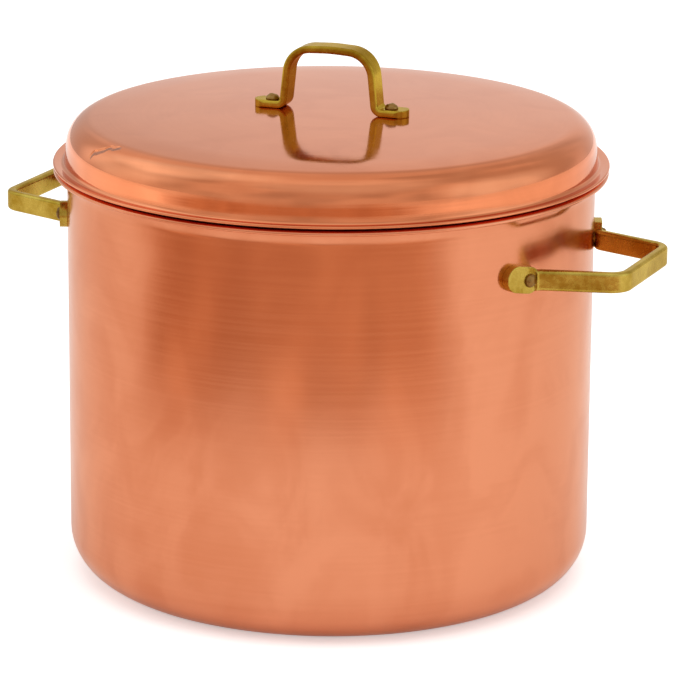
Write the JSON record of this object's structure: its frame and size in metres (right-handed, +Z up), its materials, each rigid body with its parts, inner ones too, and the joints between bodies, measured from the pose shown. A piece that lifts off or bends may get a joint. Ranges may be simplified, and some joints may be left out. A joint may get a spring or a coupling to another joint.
{
  "type": "stock pot",
  "caption": "Cylindrical copper stock pot with a flared lip, a low domed lift-off lid, riveted brass strap handles on both sides and a brass arch handle on the lid.",
  "frame": {"origin": "middle of the flat base, on the surface the pot stands on", "axes": "+Z up along the pot's axis, +X out through the middle of the right side handle, +Y to the back"},
  "size_m": [0.3084, 0.2528, 0.2457],
  "materials": {
    "copper": null,
    "copper_lid": null,
    "brass": "satin brass",
    "rivet": "hammered rivet heads"
  },
  "bodies": {
    "pot": {"pot_body": "copper", "handle_right": "brass", "handle_left": "brass", "right_rivet_front": "rivet", "right_rivet_rear": "rivet", "left_rivet_front": "rivet", "left_rivet_rear": "rivet"},
    "lid": {"lid_shell": "copper_lid", "lid_collar": "copper_lid", "lid_handle": "brass", "lid_rivet_right": "rivet", "lid_rivet_left": "rivet"}
  },
  "joints": [
    {"name": "lid_lift", "type": "slide", "parent": "pot", "child": "lid", "axis": [0, 0, 1], "range_m": [0, 0.1]}
  ]
}
